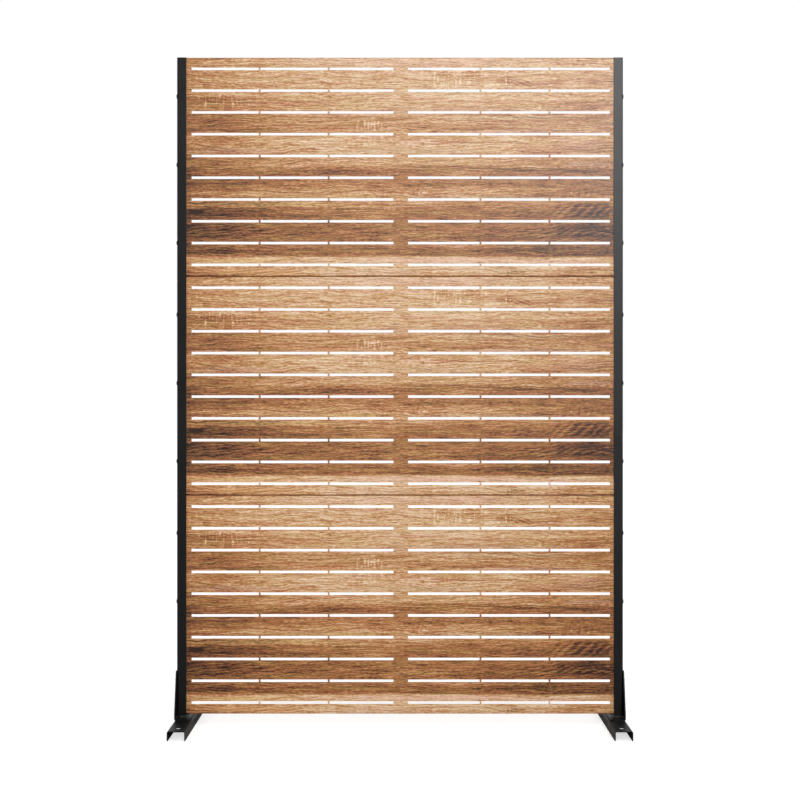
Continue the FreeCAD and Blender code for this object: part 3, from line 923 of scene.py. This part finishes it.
    def fibres(self, bench: Bench, place: Feed) -> Socket:
        """Light and dark fibres of several lengths, and dark pores between them.

        Args:
            bench: the material's tree.
            place: place on the flat sheet, shifted by the drift of the grain.

        Returns:
            Change of tone, about zero on average.
        """
        total: Feed = 0.0
        for *shape, swing, softness in self.grain:
            fibre = self.streaks(bench, place, shape)
            wave = bench.span(fibre, 0.5 - softness, 0.5 + softness, -swing, swing)
            total = bench.add(total, wave)
        dark = bench.span(self.streaks(bench, place, self.pores), 0.42, 0.30, 0.015, -0.20)
        return bench.add(total, dark)

    def figured(self, sheet: Sheet, level: Feed) -> Socket:
        """Add ray flecks and growth lines where the board has them.

        Args:
            sheet: the flat sheet.
            level: tone so far.

        Returns:
            Tone with the figure in it.
        """
        for seed, spot in enumerate(self.flecks):
            level = sheet.worked(level, Flecks(), spot, self.fleck_mean, self.fleck_ragged,
                                 Seed=float(seed))
        for seed, spot in enumerate(self.feathers):
            level = sheet.worked(level, GrowthLines(), spot, self.feather_mean,
                                 self.feather_ragged, Seed=float(seed), Slope=spot.slope,
                                 Bend=self.feather_bend)
        return level

    def stained(self, sheet: Sheet, colour: Feed) -> Socket:
        """Tint the grain: listed lenses, and streaks of three pigments all over.

        Args:
            sheet: the flat sheet.
            colour: colour so far.

        Returns:
            The tinted colour.
        """
        bench = sheet.bench
        for spot in self.stains:
            mask = bench.times(sheet.patch(spot, self.stain_ragged, spot.slant), spot.amount)
            colour = bench.tint(mask, colour, spot.colour, "COLOR")
        for pigment, *shape, amount in self.washes:
            streak = self.streaks(bench, sheet.place, shape)
            mask = bench.span(streak, 0.50, 0.66, 0.0, amount)
            colour = bench.tint(mask, colour, pigment, "HUE")
        return colour

    def material(self) -> bpy.types.Material:
        """Build the printed finish.

        Returns:
            The finish.
        """
        material, bench, shader, place = self.start()
        flat = self.unfold(bench, place)
        drift = bench.place(Drift(), Place=flat, Sweep=self.sweep, Wave=self.wave)
        sheet = Sheet(bench, flat, drift.outputs["Torn"])
        fibres = self.fibres(bench, drift.outputs["Place"])
        level = self.figured(sheet, bench.add(self.tone(sheet), fibres))
        colour = self.stained(sheet, bench.ramp(level, self.pigments))
        bench.feed(shader.inputs["Base Color"], colour)
        dust = bench.place(Dust(), Place=place, Amount=0.10)
        rough = bench.add(self.roughness, bench.times(fibres, -0.15))
        bench.feed(shader.inputs["Roughness"], bench.add(rough, dust.outputs[0]))
        self.emboss(bench, shader, fibres, self.relief)
        return material


@dataclass(frozen=True)
class PowderCoat(Finish):
    """Baked black powder: dark, satin and finely pimpled."""

    colour: Rgb = (0.0012, 0.0012, 0.0013)
    # paler black that the painted edge highlight and the dust mix in
    worn_and_highlit: Rgb = (0.012, 0.012, 0.013)
    grain: float = 1.1 * MM
    depth: float = 0.020 * MM

    def material(self) -> bpy.types.Material:
        """Build the black finish.

        Returns:
            The finish.
        """
        material, bench, shader, place = self.start()
        wear_and_highlight = bench.place(EdgeWearAndHighlight(), Place=place, Ragged=0.7)
        coat = bench.place(FineTexture(), Place=place, Grain=self.grain)
        dust = bench.place(Dust(), Place=place, Amount=0.12)
        # painted highlight: the black is paler along the edges, and dust pales it as well
        worn_and_highlit = bench.times(wear_and_highlight.outputs["Mask"], 0.35)
        pale = bench.add(worn_and_highlit, bench.times(dust.outputs[0], 0.30))
        bench.feed(shader.inputs["Base Color"], bench.tint(pale, self.colour, self.worn_and_highlit))
        rough = bench.span(coat.outputs["Mask"], 0.3, 0.7, self.roughness - 0.04,
                           self.roughness + 0.04, False)
        bench.feed(shader.inputs["Roughness"], bench.add(rough, bench.times(dust.outputs[0], 0.3)))
        self.emboss(bench, shader, coat.outputs["Height"], self.depth, wear_and_highlight.outputs["Normal"])
        return material


@dataclass(frozen=True)
class Zinc(Finish):
    """Bright zinc plating of nuts and washers, faintly cloudy."""

    bright: Rgb = (0.62, 0.63, 0.65)
    dull: Rgb = (0.40, 0.42, 0.44)
    worn_and_highlit: Rgb = (0.75, 0.76, 0.78)
    grain: float = 0.6 * MM
    depth: float = 0.008 * MM

    def material(self) -> bpy.types.Material:
        """Build the plated finish.

        Returns:
            The finish.
        """
        material, bench, shader, place = self.start()
        shader.inputs["Metallic"].default_value = 1.0
        coat = bench.place(FineTexture(), Place=place, Grain=self.grain)
        wear_and_highlight = bench.place(EdgeWearAndHighlight(), Place=place, Ragged=0.4)
        dust = bench.place(Dust(), Place=place, Amount=0.5)
        cloud = bench.noise(place, 260.0, 3.0, 0.6)
        colour = bench.tint(bench.span(cloud, 0.4, 0.65), self.bright, self.dull)
        colour = bench.tint(bench.times(wear_and_highlight.outputs["Mask"], 0.5), colour, self.worn_and_highlit)
        bench.feed(shader.inputs["Base Color"], colour)
        rough = bench.span(coat.outputs["Height"], 0.3, 0.7, self.roughness - 0.06,
                           self.roughness + 0.08, False)
        bench.feed(shader.inputs["Roughness"], bench.add(rough, bench.times(dust.outputs[0], 0.3)))
        self.emboss(bench, shader, coat.outputs["Height"], self.depth, wear_and_highlight.outputs["Normal"])
        return material


# ----------------------------------------------------------------- fasteners

SEGMENTS = 48
WELD = 0.001 * MM
SHARP = math.radians(32)


def hexagon(corner: float) -> Callable[[float], float]:
    """Radius of a hexagon by angle.

    Args:
        corner: distance from the middle to a corner.

    Returns:
        Function from an angle to the radius there.
    """
    sixth = math.tau / 6

    def radius(angle: float) -> float:
        """Distance from the middle to the flat in that direction."""
        return corner * math.cos(sixth / 2) / math.cos(angle % sixth - sixth / 2)

    return radius


@dataclass
class Turned:
    """A closed solid made of rings about its own axis, with or without a bore."""

    rings: list
    bored: bool = False

    def into(self, mesh: bmesh.types.BMesh, seat: Vector, along: Along) -> None:
        """Add the solid to a mesh.

        Args:
            mesh: mesh to add to.
            seat: where the solid's height is zero.
            along: direction in which heights grow.
        """
        axis = Vector(along.value)
        side = axis.orthogonal().normalized()
        other = axis.cross(side)
        loops = []
        for radius, height in self.rings:
            loop = []
            for step in range(SEGMENTS):
                angle = math.tau * step / SEGMENTS
                out = radius(angle) if callable(radius) else radius
                rise = height(angle) if callable(height) else height
                spot = side * (math.cos(angle) * out) + other * (math.sin(angle) * out)
                loop.append(mesh.verts.new(seat + spot + axis * rise))
            loops.append(loop)
        if self.bored:
            loops.append(loops[0])
        for low, high in zip(loops, loops[1:]):
            for step in range(SEGMENTS):
                after = (step + 1) % SEGMENTS
                mesh.faces.new((low[step], low[after], high[after], high[step]))
        if not self.bored:
            mesh.faces.new(list(reversed(loops[0])))
            mesh.faces.new(loops[-1])


@dataclass(frozen=True)
class Screw:
    """Flat round-edged head with a hexagon socket, and a threaded shank."""

    head: float = 6.0 * MM
    head_height: float = 3.0 * MM
    flat: float = 5.1 * MM
    rounding: float = 0.9 * MM
    crown: float = 0.12 * MM
    underside: float = 0.15 * MM
    socket: float = 2.2 * MM
    socket_depth: float = 1.8 * MM
    shank: float = 3.0 * MM
    thread_pitch: float = 1.0 * MM
    thread_depth: float = 0.45 * MM
    point: float = 0.5 * MM
    steps: int = 6

    def head_rings(self) -> list:
        """Rings from the bottom of the socket, over the crown, to the underside.

        Returns:
            Pairs of radius and height.
        """
        top = -self.head_height
        floor = top + self.socket_depth
        shoulder = top + self.crown * 1.6
        rings = [
            (0.15 * MM, floor + 0.50 * MM),
            (1.20 * MM, floor + 0.10 * MM),
            (hexagon(self.socket), floor),
            (hexagon(self.socket), top + 0.30 * MM),
            (hexagon(self.socket + 0.22 * MM), top + 0.03 * MM),
            (self.socket + 0.75 * MM, top),
            (4.00 * MM, top + self.crown * 0.5),
            (self.flat, shoulder),
        ]
        for step in range(1, self.steps + 1):
            turn = math.pi / 2 * step / self.steps
            rings.append((self.flat + (self.head - self.flat) * math.sin(turn),
                          shoulder + self.rounding * (1 - math.cos(turn))))
        return rings + [(self.head, -self.underside), (self.head - self.underside, 0.0),
                        (self.shank, 0.0)]

    def thread_rings(self, length: float) -> list:
        """Rings down the threaded shank to its chamfered tip.

        Args:
            length: underside of the head to the tip.

        Returns:
            Rings whose radius follows the helix.
        """
        rings = []
        step = self.thread_pitch / self.steps
        count = int((length - self.thread_pitch) / step)
        for number in range(1, count):
            height = number * step

            def radius(angle: float, height: float = height) -> float:
                """Crest or root of the thread at an angle."""
                turn = (height / self.thread_pitch - angle / math.tau) % 1.0
                return self.shank - self.thread_depth * (1 - abs(2 * turn - 1))

            rings.append((radius, height))
        return rings + [(self.shank - self.thread_depth, length - self.point),
                        (self.shank - 2 * self.thread_depth, length)]

    def solid(self, reach: float) -> Turned:
        """The whole screw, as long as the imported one."""
        return Turned(self.head_rings() + self.thread_rings(reach - self.head_height))


@dataclass(frozen=True)
class Nut:
    """Hexagon nut with chamfered corners."""

    bore: float = 3.05 * MM
    corner: float = 5.8 * MM
    height: float = 5.0 * MM
    lead: float = 0.35 * MM
    chamfer: float = 30.0
    land: float = 0.98

    def solid(self) -> Turned:
        """Rings from the lower bore, round the outside, to the upper bore.

        Returns:
            The nut.
        """
        outline = hexagon(self.corner)
        land = self.corner * math.cos(math.pi / 6) * self.land
        fall = math.tan(math.radians(self.chamfer))

        def low(angle: float) -> float:
            """Where the lower chamfer meets the side."""
            return (outline(angle) - land) * fall

        def high(angle: float) -> float:
            """Where the upper chamfer meets the side."""
            return self.height - low(angle)

        return Turned([
            (self.bore + self.lead, 0.0),
            (land, 0.0),
            (outline, low),
            (outline, high),
            (land, self.height),
            (self.bore + self.lead, self.height),
            (self.bore, self.height - self.lead),
            (self.bore, self.lead),
        ], bored=True)


@dataclass(frozen=True)
class Washer:
    """Stamped flat washer with a softly rounded rim."""

    bore: float = 3.3 * MM
    rim: float = 6.0 * MM
    thickness: float = 1.6 * MM
    soft: float = 0.25 * MM

    def solid(self) -> Turned:
        """Rings round the section of the washer.

        Returns:
            The washer.
        """
        inner, outer = self.bore + self.soft, self.rim - self.soft
        above = self.thickness - self.soft
        return Turned([
            (self.bore, self.soft), (inner, 0.0), (outer, 0.0), (self.rim, self.soft),
            (self.rim, above), (outer, self.thickness), (inner, self.thickness),
            (self.bore, above),
        ], bored=True)


def solids_of(node: str) -> list[tuple[Vector, Vector]]:
    """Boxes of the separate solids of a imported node.

    Args:
        node: name of the node.

    Returns:
        Lowest and highest corner of each solid.
    """
    copy = bmesh.new()
    copy.from_mesh(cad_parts[node].data)
    bmesh.ops.remove_doubles(copy, verts=copy.verts, dist=WELD)
    left = set(copy.verts)
    boxes = []
    while left:
        queue = [left.pop()]
        found = []
        while queue:
            vertex = queue.pop()
            found.append(vertex.co.copy())
            for edge in vertex.link_edges:
                other = edge.other_vert(vertex)
                if other in left:
                    left.discard(other)
                    queue.append(other)
        low = Vector(min(place[axis] for place in found) for axis in range(3))
        high = Vector(max(place[axis] for place in found) for axis in range(3))
        boxes.append((low, high))
    copy.free()
    return sorted(boxes, key=lambda box: tuple(round(value, 4) for value in box[0]))


def finished(name: str, mesh: bmesh.types.BMesh, material: bpy.types.Material,
             node: str) -> bpy.types.Object:
    """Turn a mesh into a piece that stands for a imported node.

    Args:
        name: name of the piece.
        mesh: its geometry, which is freed.
        material: its finish.
        node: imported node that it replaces.

    Returns:
        The new object.
    """
    bmesh.ops.recalc_face_normals(mesh, faces=mesh.faces)
    data = bpy.data.meshes.new(name)
    mesh.to_mesh(data)
    mesh.free()
    data.polygons.foreach_set("use_smooth", [True] * len(data.polygons))
    data.set_sharp_from_angle(angle=SHARP)
    data.materials.append(material)
    piece = placed(name, data)
    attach(piece, ROOT)
    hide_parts(node)
    return piece


# -------------------------------------------------------------- sub-assemblies

@dataclass
class Kit:
    """The finishes that the sub-assemblies share."""

    wood: bpy.types.Material
    powder: bpy.types.Material
    screw: bpy.types.Material
    zinc: bpy.types.Material


def dress_node(node: str, material: bpy.types.Material) -> None:
    """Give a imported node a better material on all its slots.

    Args:
        node: name of the node.
        material: its finish.
    """
    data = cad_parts[node]
    if not data.material_slots:
        data.data.materials.append(material)
    for slot in data.material_slots:
        slot.material = material
    log.info("%s: %s", node, material.name)


@dataclass
class Fastening:
    """Screws, nuts and washers of one joint line."""

    kit: Kit
    screw: Screw
    nut: Nut
    washer: Washer

    def direction(self, low: Vector, high: Vector) -> Along:
        """Way in which a fastener on the side of the screen points inward."""
        return Along.PLUS_X if (low + high).x < 0 else Along.MINUS_X

    def seat(self, low: Vector, high: Vector, along: Along, offset: float) -> Vector:
        """Point on a solid's axis where its own height is zero.

        Args:
            low: lowest corner of the solid.
            high: highest corner.
            along: direction in which the solid points.
            offset: how far in from its first face that point lies.

        Returns:
            The point.
        """
        middle = (low + high) / 2
        axis = Vector(along.value)
        half = abs((high - low).dot(axis)) / 2
        return middle - axis * (half - offset)

    def fit(self, node: str, part: Screw | Nut | Washer, along: Along | None = None) -> None:
        """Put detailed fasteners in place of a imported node.

        Args:
            node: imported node.
            part: what each of its solids is.
            along: way they point, or None for inward from the sides.
        """
        screws = isinstance(part, Screw)
        inset = part.head_height if screws else 0.0
        mesh = bmesh.new()
        for low, high in solids_of(node):
            way = along or self.direction(low, high)
            reach = abs((high - low).dot(Vector(way.value)))
            solid = part.solid(reach) if screws else part.solid()
            solid.into(mesh, self.seat(low, high, way, inset), way)
        material, slot = (self.kit.screw, Slot.SCREW) if screws else (self.kit.zinc, Slot.ZINC)
        piece = finished(f"{node}_dressed", mesh, material, node)
        log.info("%s: %d faces", piece.name, len(piece.data.polygons))


@dataclass
class Panel:
    """One slotted tray with its screws and weld nuts."""

    level: str
    kit: Kit
    fastening: Fastening

    def dress(self) -> None:
        """Print the tray and detail what fastens it."""
        dress_node(f"panel_{self.level}", self.kit.wood)
        self.fastening.fit(f"panel_bolts_{self.level}", self.fastening.screw)
        self.fastening.fit(f"weld_nuts_{self.level}", self.fastening.nut)


@dataclass
class Side:
    """One post with its bracket, its foot and their fasteners."""

    hand: str
    kit: Kit
    fastening: Fastening

    def dress(self) -> None:
        """Coat the sheet parts and detail what fastens them."""
        for part in ("post", "foot_bracket", "foot_channel"):
            dress_node(f"{part}_{self.hand}", self.kit.powder)
        parts = self.fastening
        parts.fit(f"bracket_bolts_{self.hand}", parts.screw)
        parts.fit(f"foot_bolts_{self.hand}", parts.screw, Along.DOWN)
        parts.fit(f"foot_washers_{self.hand}", parts.washer, Along.DOWN)
        parts.fit(f"foot_nuts_{self.hand}", parts.nut, Along.DOWN)


# -------------------------------------------------------------------- studio

@dataclass
class Studio:
    """White floor and surroundings, the softboxes and the camera."""

    image: float = 800.0
    focal: float = 1284.0
    sensor: float = 36.0
    eye: Vector = Vector((0.0, -3.525, 0.8964))
    ambient: float = 0.505
    floor_half: float = 30.0
    floor_colour: float = 0.80
    floor_lift: float = 0.65
    key_place: Vector = Vector((1.7, -3.4, 3.35))
    key_aim: Vector = Vector((0.0, 0.0, 1.1))
    key_size: float = 1.8
    key_power: float = 46.0
    sheen_power: float = 640.0
    fill_place: Vector = Vector((-1.7, -3.6, 1.0))
    fill_power: float = 40.0

    def camera(self) -> None:
        """Level camera in front of the screen."""
        data = bpy.data.cameras.new("camera")
        data.sensor_width = self.sensor
        data.lens = self.focal * self.sensor / self.image
        made = placed("camera", data)
        made.location = self.eye
        made.rotation_euler = (math.pi / 2, 0.0, 0.0)
        bpy.context.scene.camera = made

    def lamp(self, name: str, place: Vector, power: float, lights: bool = True,
             shines: bool = True) -> None:
        """Square softbox.

        Args:
            name: name of the lamp.
            place: where it stands.
            power: power in watts.
            lights: light surfaces as a plain lamp does.
            shines: show in reflections.
        """
        data = bpy.data.lights.new(name, "AREA")
        data.shape = "SQUARE"
        data.size = self.key_size
        data.energy = power
        made = placed(name, data)
        made.location = place
        made.rotation_euler = (place - self.key_aim).to_track_quat("Z", "Y").to_euler()
        made.visible_diffuse = lights
        made.visible_glossy = shines

    def world(self) -> None:
        """White to the eye and in mirror images from the back, softer as a light."""
        world = bpy.data.worlds.new("surroundings")
        bench = emptied(world)
        path = bench.node("ShaderNodeLightPath")
        direct = bench.node("ShaderNodeTexCoord").outputs["Generated"]
        behind = bench.span(bench.split(direct)[1], -0.1, 0.5)
        mirrored = bench.times(path.outputs["Is Glossy Ray"], behind)
        seen = bench.math("MAXIMUM", self.seen(bench, path), mirrored)
        back = bench.node("ShaderNodeBackground")
        back.inputs["Color"].default_value = (1.0, 1.0, 1.0, 1.0)
        strength = bench.span(seen, 0.0, 1.0, self.ambient, 1.0, False)
        bench.feed(back.inputs["Strength"], strength)
        out = bench.node("ShaderNodeOutputWorld")
        bench.feed(out.inputs["Surface"], back.outputs[0])
        bpy.context.scene.world = world

    def seen(self, bench: Bench, path: bpy.types.Node) -> Socket:
        """Whether a ray comes from the eye."""
        rays = path.outputs
        return bench.math("MAXIMUM", rays["Is Camera Ray"], rays["Is Transmission Ray"])

    def floor(self) -> None:
        """Pale floor that shows white and still takes the shadow."""
        half = self.floor_half
        corners = ((-half, -half, 0), (half, -half, 0), (half, half, 0), (-half, half, 0))
        data = bpy.data.meshes.new("floor")
        data.from_pydata(corners, [], [(0, 1, 2, 3)])
        material = bpy.data.materials.new("floor_white")
        bench = emptied(material)
        diffuse = bench.node("ShaderNodeBsdfDiffuse")
        diffuse.inputs["Color"].default_value = (*(self.floor_colour,) * 3, 1.0)
        glow = bench.node("ShaderNodeEmission")
        shown = self.seen(bench, bench.node("ShaderNodeLightPath"))
        bench.feed(glow.inputs["Strength"], bench.times(shown, self.floor_lift))
        both = bench.node("ShaderNodeAddShader")
        for target, shader in zip(both.inputs, (diffuse, glow)):
            bench.feed(target, shader.outputs[0])
        out = bench.node("ShaderNodeOutputMaterial")
        bench.feed(out.inputs["Surface"], both.outputs[0])
        data.materials.append(material)
        made = placed("floor", data)

    def build(self) -> None:
        """Set up camera, light and floor."""
        self.camera()
        self.world()
        self.floor()
        self.lamp("key", self.key_place, self.key_power)
        self.lamp("sheen", self.key_place, self.sheen_power, lights=False)
        self.lamp("fill", self.fill_place, self.fill_power, shines=False)
        bpy.context.scene.view_settings.view_transform = "Standard"


def main() -> None:
    """Build the finishes, dress every sub-assembly and set up the studio."""
    logging.basicConfig(level=logging.INFO, format="%(name)s: %(message)s")
    kit = Kit(
        wood=WoodPrint("wood_print_finish", roughness=0.46, specular=0.17).material(),
        powder=PowderCoat("powder_finish", roughness=0.46, specular=0.17).material(),
        screw=PowderCoat("screw_finish", roughness=0.40, specular=0.20,
                         grain=0.5 * MM, depth=0.006 * MM).material(),
        zinc=Zinc("zinc_finish", roughness=0.34, specular=0.5).material(),
    )
    fastening = Fastening(kit, Screw(), Nut(), Washer())
    for level in ("bottom", "middle", "top"):
        Panel(level, kit, fastening).dress()
    for hand in ("left", "right"):
        Side(hand, kit, fastening).dress()
    Studio().build()


if __name__ == "__main__":
    main()
